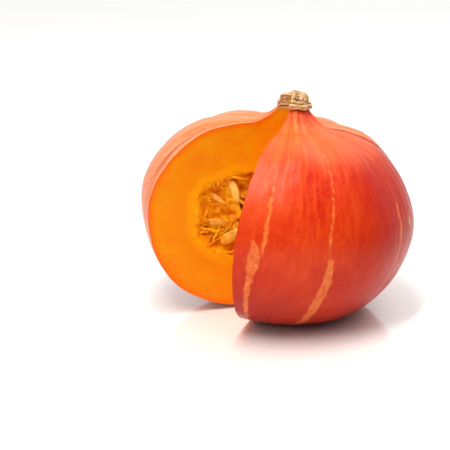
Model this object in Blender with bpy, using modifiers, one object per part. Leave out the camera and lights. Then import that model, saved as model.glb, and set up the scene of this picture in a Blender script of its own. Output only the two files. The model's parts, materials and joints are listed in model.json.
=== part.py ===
"""A hokkaido pumpkin with a deep notch cut into its front left, as it rests on a table.

Metres, +Z up. The origin is the middle of the flat that the pumpkin rests on. The fruit leans
towards +X. The notch runs from stalk to blossom end, between two knife cuts that meet on the
fruit's own axis. Headings are angles round that axis, counted from +X towards +Y.
"""

import math

import bmesh
import bpy
import numpy as np
from mathutils import Matrix, Vector

# Driving dimensions
GIRTH_RADIUS = 0.0925
NECK_HEIGHT = 0.1395
LEAN = math.radians(8.0)
REST_SHIFT = 0.0120
REST_DEPTH = 0.0021
CUT_FROM = math.radians(200.3)
CUT_TO = math.radians(252.0)
CUT_TIP_OFFSET = 0.0005
CAVITY_RADIUS = 0.0590
CAVITY_MIDDLE = 0.0700
CAVITY_RISE = 0.0275
CAVITY_DROP = 0.0370
CAVITY_FULLNESS = 0.75
PULP_THICKNESS = 0.0045
PULP_SETBACK = 0.0010
STALK_RADIUS = 0.0118
STALK_HEIGHT = 0.0106
SEED_LENGTH = 0.0190
SEED_WIDTH = 0.0108
SEED_THICKNESS = 0.0036
FIT_GAP = 0.0003

# Outline of the rind from the neck down to the blossom end, as shares of girth radius and neck height
RIND_OUTLINE = [
    (0.108, 1.025),
    (0.118, 1.013),
    (0.142, 0.996),
    (0.192, 0.971),
    (0.285, 0.942),
    (0.440, 0.927),
    (0.670, 0.873),
    (0.881, 0.733),
    (1.000, 0.532),
    (0.928, 0.301),
    (0.737, 0.124),
    (0.482, 0.036),
    (0.238, 0.006),
    (0.080, 0.022),
]
RIND_STEPS_PER_SPAN = 3
RIND_TURN_STEPS = 60

# Ten shallow lobes with furrows between them, deepest on the neck, on a body that is not quite round
LOBES = 10
FURROW_HEADING = math.radians(6.0)
LOBE_DEPTH_NECK = 0.050
LOBE_DEPTH_SHOULDER = 0.012
LOBE_DEPTH_GIRTH = 0.005
LOBE_LIFT = 0.0006
SHOULDER_RISE = 0.0013
SHOULDER_RISE_HEADING = math.radians(-31.0)
OFF_ROUND_X = -0.012
OFF_ROUND_Y = 0.017
OFF_ROUND_DIAGONAL = -0.024

# Outline of the corky stalk from its top down, as shares of its radius and height
STALK_OUTLINE = [
    (0.26, 1.00),
    (0.48, 0.93),
    (0.66, 0.80),
    (0.79, 0.62),
    (0.84, 0.44),
    (0.97, 0.31),
    (1.03, 0.14),
    (0.96, 0.00),
]
STALK_TURN_STEPS = 28
STALK_RIDGES = 7
STALK_RIDGE_DEPTH = 0.05
STALK_TOP_SLOPE = 0.42

# Seeds stand on the pulp in rows from stalk end to blossom end and point inwards,
# with their flat sides turned away from the row by about two thirds of a right angle
SEED_ROWS = 15
SEED_ROW_EDGE = math.radians(7.5)
SEED_TURN = math.radians(62.0)
SEED_TURN_RANGE = math.radians(22.0)
SEED_TILT_RANGE = 0.30
SEED_LATITUDES_EVEN = (-56.0, -21.0, 13.0, 50.0)
SEED_LATITUDES_ODD = (-39.0, -4.0, 31.0)
SEED_SIDES = 8
SEED_RINGS = 6


def clear_scene():
    for old in list(bpy.data.objects):
        bpy.data.objects.remove(old)


def new_collection(name):
    made = bpy.data.collections.new(name)
    bpy.context.scene.collection.children.link(made)
    return made


def new_material(name, colour, roughness):
    made = bpy.data.materials.new(name)
    made.use_nodes = True
    shader = made.node_tree.nodes["Principled BSDF"]
    shader.inputs["Base Color"].default_value = (*colour, 1.0)
    shader.inputs["Roughness"].default_value = roughness
    shader.inputs["Metallic"].default_value = 0.0
    return made


def new_object(name, mesh, collection, material=None):
    made = bpy.data.objects.new(name, mesh)
    collection.objects.link(made)
    if material:
        mesh.materials.append(material)
    return made


def mark_cutter(obj):
    obj.hide_render = True
    obj.display_type = "WIRE"
    return obj


def curve_through(points, steps):
    """Points on a Catmull-Rom curve through these ones, with this many steps between neighbours."""
    ends = [Vector(point) for point in (points[0], *points, points[-1])]
    found = []
    for before, start, end, after in zip(ends, ends[1:], ends[2:], ends[3:]):
        slope = (end - before) / 2
        bend = before - 2.5 * start + 2 * end - 0.5 * after
        twist = 1.5 * (start - end) + (after - before) / 2
        for t in (step / steps for step in range(steps)):
            found.append(start + slope * t + bend * t**2 + twist * t**3)
    return [*found, ends[-1]]


def turned_mesh(name, outline, steps):
    """The closed mesh of an outline of radius and height, from top to bottom, turned about Z."""
    profile = [(0.0, outline[0][1]), *outline, (0.0, outline[-1][1])]
    mesh = bpy.data.meshes.new(name)
    edges = [(i, i + 1) for i in range(len(profile) - 1)]
    mesh.from_pydata([(radius, 0.0, height) for radius, height in profile], edges, [])
    turned = new_object(name, mesh, bpy.context.scene.collection)
    screw = turned.modifiers.new("Turn", "SCREW")
    screw.steps = screw.render_steps = steps
    screw.use_merge_vertices = True
    screw.merge_threshold = 0.00005
    bpy.context.view_layer.update()
    graph = bpy.context.evaluated_depsgraph_get()
    made = bpy.data.meshes.new_from_object(turned.evaluated_get(graph))
    bpy.data.objects.remove(turned)
    return made


def shade_round(mesh):
    mesh.shade_smooth()
    mesh.set_sharp_from_angle(angle=math.radians(40.0))


def subtract(target, cutter):
    cut = target.modifiers.new(f"Cut by {cutter.name}", "BOOLEAN")
    cut.operation = "DIFFERENCE"
    cut.object = cutter


def lobe_depth(height):
    """Depth of the lobes at this height, as a share of the radius there."""
    up = height / NECK_HEIGHT
    heights = (0.05, 0.30, 0.55, 0.88, 1.00)
    depths = (0.0, LOBE_DEPTH_GIRTH, LOBE_DEPTH_GIRTH, LOBE_DEPTH_SHOULDER, LOBE_DEPTH_NECK)
    return float(np.interp(up, heights, depths))


def grown_point(radius, height, heading):
    """A point of the turned rind, moved by the lobes and the uneven growth of a real fruit."""
    fullness = radius / GIRTH_RADIUS
    uneven = (
        OFF_ROUND_X * math.cos(heading)
        + OFF_ROUND_Y * math.sin(heading)
        + OFF_ROUND_DIAGONAL * math.sin(2 * heading)
    )
    crest = -math.cos(LOBES * (heading - FURROW_HEADING))
    radius *= 1 + fullness * uneven + lobe_depth(height) * crest
    if height > NECK_HEIGHT / 2:
        rise = SHOULDER_RISE * math.cos(heading - SHOULDER_RISE_HEADING)
        height += (LOBE_LIFT * crest + rise) * math.sin(math.pi * min(1.0, fullness)) ** 2
    return Vector((radius * math.cos(heading), radius * math.sin(heading), height))


def rind_mesh():
    shares = curve_through(RIND_OUTLINE, RIND_STEPS_PER_SPAN)
    outline = [(radius * GIRTH_RADIUS, height * NECK_HEIGHT) for radius, height in shares]
    mesh = turned_mesh("rind", outline, RIND_TURN_STEPS)
    for vertex in mesh.vertices:
        radius = math.hypot(vertex.co.x, vertex.co.y)
        vertex.co = grown_point(radius, vertex.co.z, math.atan2(vertex.co.y, vertex.co.x))
    return mesh


def cavity_wall(across, up, inset):
    """Radius and height on the cavity's wall, moved inwards, for a point of the unit circle."""
    reach = CAVITY_DROP if up < 0 else CAVITY_RISE
    radius = max(0.0, across) ** CAVITY_FULLNESS * (CAVITY_RADIUS - inset)
    height = math.copysign(abs(up) ** CAVITY_FULLNESS, up) * (reach - inset)
    return radius, CAVITY_MIDDLE + height


def hollow_mesh(name, inset, segments, rings):
    """The cavity's shape, shrunk by the inset."""
    bm = bmesh.new()
    bmesh.ops.create_uvsphere(bm, u_segments=segments, v_segments=rings, radius=1.0)
    for vertex in bm.verts:
        across = math.hypot(vertex.co.x, vertex.co.y)
        heading = math.atan2(vertex.co.y, vertex.co.x)
        radius, height = cavity_wall(across, vertex.co.z, inset)
        vertex.co = (radius * math.cos(heading), radius * math.sin(heading), height)
    mesh = bpy.data.meshes.new(name)
    bm.to_mesh(mesh)
    bm.free()
    return mesh


def notch_cutter(name, collection, setback):
    """The notch as a prism with its tip near the fruit's axis. Setback moves both faces outwards."""
    middle = (CUT_FROM + CUT_TO) / 2
    half = (CUT_TO - CUT_FROM) / 2
    reach = 2 * GIRTH_RADIUS
    tip = Vector((math.cos(middle), math.sin(middle))) * (CUT_TIP_OFFSET - setback / math.sin(half))
    sides = [tip + Vector((math.cos(a), math.sin(a))) * reach for a in (CUT_FROM, CUT_TO)]
    curve = bpy.data.curves.new(name, "CURVE")
    curve.dimensions = "2D"
    curve.fill_mode = "BOTH"
    curve.extrude = NECK_HEIGHT
    outline = curve.splines.new("POLY")
    outline.points.add(2)
    outline.use_cyclic_u = True
    for point, place in zip(outline.points, (tip, *sides)):
        point.co = (place.x, place.y, 0.0, 1.0)
    drawn = bpy.data.objects.new(name, curve)
    collection.objects.link(drawn)
    drawn.location.z = NECK_HEIGHT / 2
    bpy.context.view_layer.update()
    graph = bpy.context.evaluated_depsgraph_get()
    mesh = bpy.data.meshes.new_from_object(drawn.evaluated_get(graph))
    place = drawn.matrix_world.copy()
    bpy.data.objects.remove(drawn)
    bm = bmesh.new()
    bm.from_mesh(mesh)
    bmesh.ops.remove_doubles(bm, verts=bm.verts, dist=0.00001)
    bmesh.ops.recalc_face_normals(bm, faces=bm.faces)
    bm.to_mesh(mesh)
    bm.free()
    made = mark_cutter(new_object(name, mesh, collection))
    made.matrix_world = place
    return made


def table_cutter(collection):
    """The space under the table top, which leaves the fruit its resting flat."""
    bm = bmesh.new()
    bmesh.ops.create_cube(bm, size=4 * GIRTH_RADIUS)
    mesh = bpy.data.meshes.new("table")
    bm.to_mesh(mesh)
    bm.free()
    made = mark_cutter(new_object("table_cutter", mesh, collection))
    made.location.z = -2 * GIRTH_RADIUS
    return made


def stalk_mesh():
    shares = curve_through(STALK_OUTLINE, 2)
    outline = [(radius * STALK_RADIUS, height * STALK_HEIGHT) for radius, height in shares]
    mesh = turned_mesh("stalk", outline, STALK_TURN_STEPS)
    for vertex in mesh.vertices:
        heading = math.atan2(vertex.co.y, vertex.co.x)
        up = vertex.co.z / STALK_HEIGHT
        ridge = 1 + STALK_RIDGE_DEPTH * math.cos(STALK_RIDGES * heading)
        vertex.co.x *= ridge
        vertex.co.y *= ridge
        # The top breaks off lower on the -X side than on the +X side.
        vertex.co.z *= 1 + STALK_TOP_SLOPE * up * min(0.0, vertex.co.x / STALK_RADIUS)
    return mesh


def seed_mesh(name):
    """A flat pip along Z, rounded at -Z and pointed at +Z."""
    bm = bmesh.new()
    bmesh.ops.create_uvsphere(bm, u_segments=SEED_SIDES, v_segments=SEED_RINGS, radius=1.0)
    for vertex in bm.verts:
        along = (vertex.co.z + 1) / 2
        taper = 1.08 - 0.50 * along**1.7
        vertex.co.x *= taper * SEED_WIDTH / 2
        vertex.co.y *= (0.55 + 0.45 * taper) * SEED_THICKNESS / 2
        vertex.co.z *= SEED_LENGTH / 2
    mesh = bpy.data.meshes.new(name)
    bm.to_mesh(mesh)
    bm.free()
    return mesh


def wobble(index, phase):
    """A repeatable number from -1 to 1 for each seed, different for each phase."""
    return math.sin(12.9898 * index + 4.137 * phase + 1.3)


def seed_places():
    """For each seed, the matrix that stands it on the pulp, in the fruit's own frame."""
    first = CUT_TO + SEED_ROW_EDGE
    last = CUT_FROM + 2 * math.pi - SEED_ROW_EDGE
    places = []
    for row in range(SEED_ROWS):
        heading = first + (last - first) * row / (SEED_ROWS - 1)
        outwards = Vector((math.cos(heading), math.sin(heading), 0.0))
        sideways = Vector((-outwards.y, outwards.x, 0.0))
        latitudes = SEED_LATITUDES_ODD if row % 2 else SEED_LATITUDES_EVEN
        for latitude in map(math.radians, latitudes):
            index = len(places)
            radius, height = cavity_wall(math.cos(latitude), math.sin(latitude), PULP_THICKNESS)
            foot = outwards * radius + Vector((0.0, 0.0, height))
            inwards = outwards * -math.cos(latitude) - Vector((0.0, 0.0, math.sin(latitude)))
            upright = inwards.cross(sideways)
            pointing = (inwards + SEED_TILT_RANGE * wobble(index, 1) * upright).normalized()
            turned = SEED_TURN * math.cos(latitude) + SEED_TURN_RANGE * wobble(index, 2)
            facing = math.cos(turned) * sideways + math.sin(turned) * pointing.cross(sideways)
            middle = foot + inwards * (SEED_LENGTH / 2 + 3 * FIT_GAP)
            turn = Matrix((facing.cross(pointing), facing, pointing)).transposed()
            places.append(Matrix.Translation(middle) @ turn.to_4x4())
    return places


def build():
    clear_scene()
    parts = new_collection("hokkaido_pumpkin")
    cutters = new_collection("cutters")
    rind = new_material("orange_red_rind", (0.80, 0.09, 0.02), 0.40)
    cork = new_material("corky_stalk", (0.52, 0.36, 0.18), 0.85)
    fibre = new_material("stringy_pulp", (0.90, 0.42, 0.05), 0.55)
    hull = new_material("seed_hull", (0.88, 0.66, 0.34), 0.45)

    axis = bpy.data.objects.new("fruit_axis", None)
    parts.objects.link(axis)
    axis.rotation_euler.y = LEAN
    axis.location = (-REST_SHIFT - NECK_HEIGHT / 2 * math.sin(LEAN), 0.0, -REST_DEPTH)

    notch = notch_cutter("notch_cutter", cutters, 0.0)
    notch.parent = axis
    wider_notch = notch_cutter("pulp_notch_cutter", cutters, PULP_SETBACK)
    wider_notch.parent = axis
    cavity = new_object("cavity_cutter", hollow_mesh("cavity", 0.0, 36, 16), cutters)
    mark_cutter(cavity).parent = axis
    inner = new_object("hollow_cutter", hollow_mesh("hollow", PULP_THICKNESS, 36, 16), cutters)
    mark_cutter(inner).parent = axis
    table = table_cutter(cutters)

    body = new_object("rind_and_flesh", rind_mesh(), parts, rind)
    body.parent = axis
    for cutter in (cavity, notch, table):
        subtract(body, cutter)

    stalk = new_object("stalk", stalk_mesh(), parts, cork)
    stalk.parent = axis
    stalk.location.z = RIND_OUTLINE[0][1] * NECK_HEIGHT + FIT_GAP
    subtract(stalk, notch)

    pulp = new_object("stringy_pulp", hollow_mesh("pulp", FIT_GAP, 36, 16), parts, fibre)
    pulp.parent = axis
    subtract(pulp, inner)
    subtract(pulp, wider_notch)

    seed = seed_mesh("seed")
    seed.materials.append(hull)
    for number, place in enumerate(seed_places(), start=1):
        made = new_object(f"seed_{number:02d}", seed, parts)
        made.parent = axis
        made.matrix_local = place

    for made in (body, stalk, pulp):
        shade_round(made.data)
    seed.shade_smooth()


build()
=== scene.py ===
import json
import math
import random
from functools import partial, reduce
from math import radians

import bpy
import numpy as np
from mathutils import Euler, Matrix, Vector, noise

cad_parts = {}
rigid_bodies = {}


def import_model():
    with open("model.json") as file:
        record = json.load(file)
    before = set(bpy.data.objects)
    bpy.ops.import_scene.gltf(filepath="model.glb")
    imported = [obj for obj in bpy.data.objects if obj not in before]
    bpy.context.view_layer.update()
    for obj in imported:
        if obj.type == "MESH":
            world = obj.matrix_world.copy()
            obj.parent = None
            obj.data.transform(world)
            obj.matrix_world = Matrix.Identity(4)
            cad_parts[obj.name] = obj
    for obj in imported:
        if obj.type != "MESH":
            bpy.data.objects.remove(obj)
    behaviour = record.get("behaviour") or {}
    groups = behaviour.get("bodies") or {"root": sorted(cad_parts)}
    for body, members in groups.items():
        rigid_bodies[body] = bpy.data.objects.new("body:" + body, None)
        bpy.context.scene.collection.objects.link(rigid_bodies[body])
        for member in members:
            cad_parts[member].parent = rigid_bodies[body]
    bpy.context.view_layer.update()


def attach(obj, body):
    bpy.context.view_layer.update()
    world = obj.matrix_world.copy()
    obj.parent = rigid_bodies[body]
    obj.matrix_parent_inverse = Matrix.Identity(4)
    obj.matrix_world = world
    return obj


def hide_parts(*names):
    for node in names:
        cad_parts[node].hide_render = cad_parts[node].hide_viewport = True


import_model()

mm = 0.001


def toLinear(hexColour):
    # sRGB hex to linear, with alpha
    parts = [int(hexColour[i:i + 2], 16) / 255 for i in (1, 3, 5)]
    return tuple(p / 12.92 if p <= 0.04045 else ((p + 0.055) / 1.055) ** 2.4 for p in parts) + (1.0,)


def newMaterial(name):
    # a material without nodes, and the function that adds a node to it
    material = bpy.data.materials.new(name)
    material.use_nodes = True
    material.node_tree.nodes.clear()
    return material, partial(addNode, material.node_tree)


def addNode(tree, kind, links=None, stops=None, **settings):
    # one node: settings are its properties, links its sockets, stops the colours of a ramp
    made = tree.nodes.new("ShaderNode" + kind)
    for name, value in settings.items():
        setattr(made, name, value)
    if stops:
        ramp = made.color_ramp
        while len(ramp.elements) < len(stops):
            ramp.elements.new(1.0)
        for element, (place, colour) in zip(ramp.elements, stops):
            element.position = place
            element.color = toLinear(colour) if isinstance(colour, str) else (colour,) * 3 + (1.0,)
    for socket, value in (links or {}).items():
        if isinstance(value, bpy.types.Node):
            value = value.outputs[0]
        if isinstance(value, bpy.types.NodeSocket):
            tree.links.new(value, made.inputs[socket])
        else:
            made.inputs[socket].default_value = value
    return made


def strength(node, *masks):
    # the product of some masks: each is a socket, or a value, the two places between which its strength
    # changes, and the strength at each of them
    total = None
    for mask in masks:
        if isinstance(mask, tuple):
            value, start, stop, first, last, *kind = mask
            kind = kind[0] if kind else "SMOOTHSTEP"
            mask = node("MapRange", {0: value, 1: start, 2: stop, 3: first, 4: last}, interpolation_type=kind)
        total = mask if total is None else node("Math", {0: total, 1: mask}, operation="MULTIPLY")
    return total


def layered(node, look, colour, layers):
    # lays colours of a look over one another, each as strong as its masks say
    for tint, *masks in layers:
        colour = node("MixRGB", {0: strength(node, *masks), 1: colour, 2: toLinear(look[tint])})
    return colour


def surfaced(material, node, look, colour, rough, height, grain):
    # finishes a material: its shader has the look's constants, and a bump as deep as the grain
    weight, radius, reach = look["subsurface"]
    bump = node("Bump", {"Strength": look["bump"], "Distance": grain, "Height": height})
    shader = node("BsdfPrincipled", {
        "Base Color": colour, "Roughness": rough, "Normal": bump, "IOR": look["ior"],
        "Specular IOR Level": look["specular"],
        "Subsurface Weight": weight, "Subsurface Radius": radius, "Subsurface Scale": reach,
    })
    node("OutputMaterial", {0: shader})
    return material


def newPiece(name, points, faces, place, materials, faceMaterials=None, attributes=None, baked=True, sharp=None):
    mesh = bpy.data.meshes.new(name)
    mesh.from_pydata([tuple(p) for p in points], [], [tuple(f) for f in faces])
    for material in materials:
        mesh.materials.append(material)
    if faceMaterials is not None:
        mesh.polygons.foreach_set("material_index", np.asarray(faceMaterials, dtype=np.int32))
    for key, values in (attributes or {}).items():
        layer = mesh.attributes.new(key, "FLOAT", "POINT")
        layer.data.foreach_set("value", np.asarray(values, dtype=np.float32))
    mesh.polygons.foreach_set("use_smooth", np.ones(len(mesh.polygons), dtype=bool))
    mesh.update()
    if sharp:
        mesh.set_sharp_from_angle(angle=radians(sharp))
    piece = bpy.data.objects.new(name, mesh)
    bpy.context.scene.collection.objects.link(piece)
    if baked:
        mesh.transform(place)
    else:
        piece.matrix_world = place
    return piece


def curveThrough(points, steps):
    # Catmull-Rom curve through the points
    ends = [Vector(p) for p in (points[0], *points, points[-1])]
    found = []
    for before, start, end, after in zip(ends, ends[1:], ends[2:], ends[3:]):
        slope = (end - before) / 2
        bend = before - 2.5 * start + 2 * end - 0.5 * after
        twist = 1.5 * (start - end) + (after - before) / 2
        found += [start + slope * t + bend * t * t + twist * t ** 3 for t in (i / steps for i in range(steps))]
    return [*found, ends[-1]]


# The fruit, with the same sizes as the CAD model

fruit = {
    "girthRadius": 92.5 * mm,
    "neckHeight": 139.5 * mm,
    "lean": radians(8.0),
    "restShift": 12.0 * mm,
    "restDepth": 2.1 * mm,
    "cutFrom": radians(200.3),
    "cutTo": radians(252.0),
    "cavityRadius": 59.0 * mm,
    "cavityMiddle": 70.0 * mm,
    "cavityRise": 27.5 * mm,
    "cavityDrop": 37.0 * mm,
    "cavityFullness": 0.75,
    "outline": [(0.108, 1.025), (0.118, 1.013), (0.142, 0.996), (0.192, 0.971), (0.285, 0.942), (0.440, 0.927),
                (0.670, 0.873), (0.881, 0.733), (1.000, 0.532), (0.928, 0.301), (0.737, 0.124),
                (0.482, 0.036), (0.238, 0.006), (0.080, 0.022)],
    "lobes": 10,
    "furrowHeading": radians(6.0),
    # heading and depth of the grooves that the two long stripes in front lie in
    "grooves": [(radians(263.7), 0.50 * mm), (radians(292.0), 0.30 * mm)],
    # how deep the crease along each furrow is, counted from furrowHeading
    "creases": [1.2, 0.8, 0.9, 0.6, 0.9, 0.8, 0.5, 0.1, 0.1, 0.1],
}
fruitShift = -fruit["restShift"] - fruit["neckHeight"] / 2 * math.sin(fruit["lean"])
fruitPlace = Matrix.Translation((fruitShift, 0, -fruit["restDepth"])) @ Matrix.Rotation(fruit["lean"], 4, "Y")
worldFromFruit = np.array(fruitPlace)
fruitFromWorld = np.array(fruitPlace.inverted())


def fruitCoordinates(node):
    # coordinates that lean with the fruit: their Z axis runs from blossom end to stalk
    place = node("TexCoord").outputs["Object"]
    back = fruitPlace.inverted()
    return node("Mapping", {0: place, 1: back.translation, 2: (0, -fruit["lean"], 0)}, vector_type="POINT")


headingStart = fruit["cutTo"]
headingEnd = fruit["cutFrom"] + 2 * math.pi


# the two cuts: column of a swept grid, side, heading and the direction out of the cut face
cuts = [(column, side, heading, np.array((-math.sin(heading), math.cos(heading), 0)) * side)
        for column, side, heading in ((-1, 1, headingEnd), (0, -1, headingStart))]


def cutGrid(outer, inner, deep):
    # the grid of a cut face between its outer and its inner line
    share = deep[None, :, None]
    return outer[:, None] * (1 - share) + inner[:, None] * share


def noiseAt(x, y, z, scale, seed=0.0):
    return noise.noise(Vector((x, y, z)) * scale + Vector((seed, seed * 1.7, -seed)))


def rindPoint(radius, height, heading):
    # the CAD model's rind, with the finer unevenness that its facets can't hold
    full = radius / fruit["girthRadius"]
    up = height / fruit["neckHeight"]
    uneven = -0.012 * math.cos(heading) + 0.017 * math.sin(heading) - 0.024 * math.sin(2 * heading)
    crest = -math.cos(fruit["lobes"] * (heading - fruit["furrowHeading"]))
    depth = np.interp(up, (0.05, 0.30, 0.55, 0.88, 1.00), (0.0, 0.005, 0.005, 0.012, 0.050))
    grown = radius * (1 + full * uneven + depth * crest)
    if height > fruit["neckHeight"] / 2:
        rise = 1.3 * mm * math.cos(heading + radians(31))
        height += (0.6 * mm * crest + rise) * math.sin(math.pi * min(1.0, full)) ** 2
    x, y, z = grown * math.cos(heading), grown * math.sin(heading), height
    shallow = 0.20 * mm + 0.30 * mm * (0.5 + 0.5 * noiseAt(x, y, z, 28, 3.1))
    # fine ribs that run from the stalk over the shoulder, 3 to 5 mm apart there
    ribs = 0.5 + 0.5 * noiseAt(math.cos(heading) * 9, math.sin(heading) * 9, up * 0.7, 1.0, 8.0)
    shallow += 0.35 * mm * ribs * max(0.0, (up - 0.45) / 0.55) * min(1.0, full * 4)
    # a narrow crease along each furrow, on the shoulder only
    turn = 2 * math.pi / fruit["lobes"]
    number = round((heading - fruit["furrowHeading"]) / turn)
    aside = (heading - fruit["furrowHeading"] - number * turn) * grown
    onShoulder = np.interp(up, (0.70, 0.86, 0.95, 1.0), (0.0, 1.0, 0.8, 0.3)) * min(1.0, full * 3)
    crease = fruit["creases"][number % fruit["lobes"]]
    for deep, wide in ((1.3 * mm, 4.0 * mm), (0.8 * mm, 1.4 * mm)):
        shallow += crease * onShoulder * deep * math.exp(-(aside / wide) ** 2)
    alongStripe = np.interp(up, (0.1, 0.4, 0.85, 0.97), (0.0, 1.0, 1.0, 0.0))
    for groove, deep in fruit["grooves"]:
        shallow += alongStripe * deep * math.exp(-((heading - groove) * grown / (2.6 * mm)) ** 2)
    # small dents and wrinkles, 4 to 8 mm across
    shallow += 0.36 * mm * max(0.0, noiseAt(x, y, z * 0.7, 150, 6.4)) * min(1.0, full * 3)
    middle = Vector((0, 0, fruit["cavityMiddle"]))
    here = Vector((x, y, z))
    return here - (here - middle).normalized() * shallow * min(1.0, full * 8)


def cavityPoint(across, up, heading, inset):
    reach = fruit["cavityDrop"] if up < 0 else fruit["cavityRise"]
    radius = max(0.0, across) ** fruit["cavityFullness"] * (fruit["cavityRadius"] - inset)
    height = math.copysign(abs(up) ** fruit["cavityFullness"], up) * (reach - inset)
    return Vector((radius * math.cos(heading), radius * math.sin(heading), fruit["cavityMiddle"] + height))


def evenly(points, count):
    # the same line with its points at even distances
    line = np.array([tuple(p) for p in points])
    along = np.concatenate([[0], np.cumsum(np.linalg.norm(np.diff(line, axis=0), axis=1))])
    places = np.linspace(0, along[-1], count)
    return np.stack([np.interp(places, along, line[:, k]) for k in range(line.shape[1])], 1)


def sweptShell(outer, inner, leftFace, rightFace):
    # one closed body from four grids that meet along their edges: outside, inside and the two cut faces
    grids = [np.asarray(g) for g in (outer, inner, leftFace, rightFace)]
    points, faces, kinds, start = [], [], [], 0
    for kind, (grid, flip) in enumerate(zip(grids, (True, False, True, False))):
        rows, columns = grid.shape[:2]
        points.append(grid.reshape(-1, grid.shape[2]))
        i, j = np.meshgrid(np.arange(rows - 1), np.arange(columns - 1), indexing="ij")
        a = start + (i * columns + j).ravel()
        quads = np.stack([a, a + 1, a + columns + 1, a + columns], 1)
        faces.append(quads[:, ::-1] if flip else quads)
        kinds.append(np.full(len(quads), kind))
        start += rows * columns
    return np.concatenate(points), np.concatenate(faces), np.concatenate(kinds)


def weldPoints(points, faces, kinds, distance=1e-5):
    # joins the points that the grids share, and drops the faces that this closes up
    keys = np.round(points[:, :3] / distance).astype(np.int64)
    _, first, back = np.unique(keys, axis=0, return_index=True, return_inverse=True)
    back = back.ravel()
    tidy, tidyKinds = [], []
    for face, kind in zip(back[faces], kinds):
        ring = [p for n, p in enumerate(face) if p != face[n - 1]]
        if len(set(ring)) == len(ring) >= 3:
            tidy.append(ring)
            tidyKinds.append(kind)
    return points[first], tidy, np.array(tidyKinds)


# Rind, flesh and cavity wall: one body

body = {
    "rowsDown": 150,      # from stalk to blossom end
    "rowsRound": 300,     # from cut to cut
    "innerRound": 90,     # the same for the cavity wall
    "rowsDeep": 26,       # from rind to cavity, closer together under the rind
    "knifeWave": 0.16 * mm,
    "tornWidth": 6.0 * mm,
    "footHeight": 4.0 * mm,
    "footBlend": 0.7 * mm,
}


def tornEdge(x, y, z):
    # how far the torn rim of the cavity stands out of the cut
    return (0.9 * noiseAt(x, y, z, 260, 5.0) + 0.5 * noiseAt(x, y, z, 620, 1.0) - 0.15) * mm


def bodyPiece(rind, flesh, wall):
    shares = [(0.0, fruit["outline"][0][1]), *curveThrough(fruit["outline"], 12), (0.0, fruit["outline"][-1][1])]
    profile = evenly([(r * fruit["girthRadius"], h * fruit["neckHeight"]) for r, h in shares], body["rowsDown"])
    angles = np.linspace(math.pi / 2, -math.pi / 2, 400)
    hollow = evenly([tuple(cavityPoint(math.cos(a), math.sin(a), 0.0, 0.0)) for a in angles], body["rowsDown"])
    headings = np.linspace(headingStart, headingEnd, body["rowsRound"])
    outer = np.array([[tuple(rindPoint(r, h, a)) for a in headings] for r, h in profile])
    wallHeadings = np.linspace(headingStart, headingEnd, body["innerRound"])
    inner = np.array([[(p[0] * math.cos(a), p[0] * math.sin(a), p[2]) for a in wallHeadings] for p in hollow])
    deep = np.linspace(0, 1, body["rowsDeep"]) ** 1.6
    faces = []
    for column, side, _, outwards in cuts:
        grid = cutGrid(outer[:, column], inner[:, column], deep)
        thick = np.linalg.norm(outer[:, column] - inner[:, column], axis=1)
        for i in range(1, grid.shape[0] - 1):
            for j in range(1, grid.shape[1]):
                x, y, z = grid[i, j]
                r = math.hypot(x, y)
                if r < 3 * mm:
                    continue
                wave = body["knifeWave"] * noiseAt(r * 0.4, 0, z + r * 0.6, 190, 2 + side)
                near = max(0.0, 1 - (1 - deep[j]) * thick[i] / body["tornWidth"])
                lift = (wave - 0.1 * mm) * (1 - near) + tornEdge(x, y, z) * near
                grid[i, j] += outwards * lift * min(1.0, deep[j] * thick[i] / mm)
        inner[1:-1, column] = grid[1:-1, -1]
        faces.append((grid, deep[None, :] * thick[:, None], (1 - deep[None, :]) * thick[:, None]))
    # every grid carries its depth under the rind and its distance from the cavity
    near, far = np.zeros(outer.shape[:2]), np.full(outer.shape[:2], 30.0 * mm)
    columns = inner.shape[1]
    grids = [np.dstack([outer, near, far]), np.dstack([inner, far[:, :columns], near[:, :columns]])]
    grids += [np.dstack([grid, under, above]) for grid, under, above in faces]
    points, quads, kinds = weldPoints(*sweptShell(*grids))
    # the blossom end is flattened where it stands on the table
    world = points[:, :3] @ worldFromFruit[:3, :3].T + worldFromFruit[:3, 3]
    low = world[:, 2].copy()
    flattened = 0.5 * (low + np.sqrt(low ** 2 + body["footBlend"] ** 2))
    world[:, 2] = np.where(low < body["footHeight"], flattened, low)
    local = (world - worldFromFruit[:3, 3]) @ fruitFromWorld[:3, :3].T
    which = np.array([0, 2, 1, 1])[kinds]      # rind outside, wall inside, flesh on the two cut faces
    return newPiece("rind_and_flesh_form", local, quads, fruitPlace, [rind, flesh, wall], which,
                    {"underRind": points[:, 3] / mm, "fromCavity": points[:, 4] / mm}, sharp=60)


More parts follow.
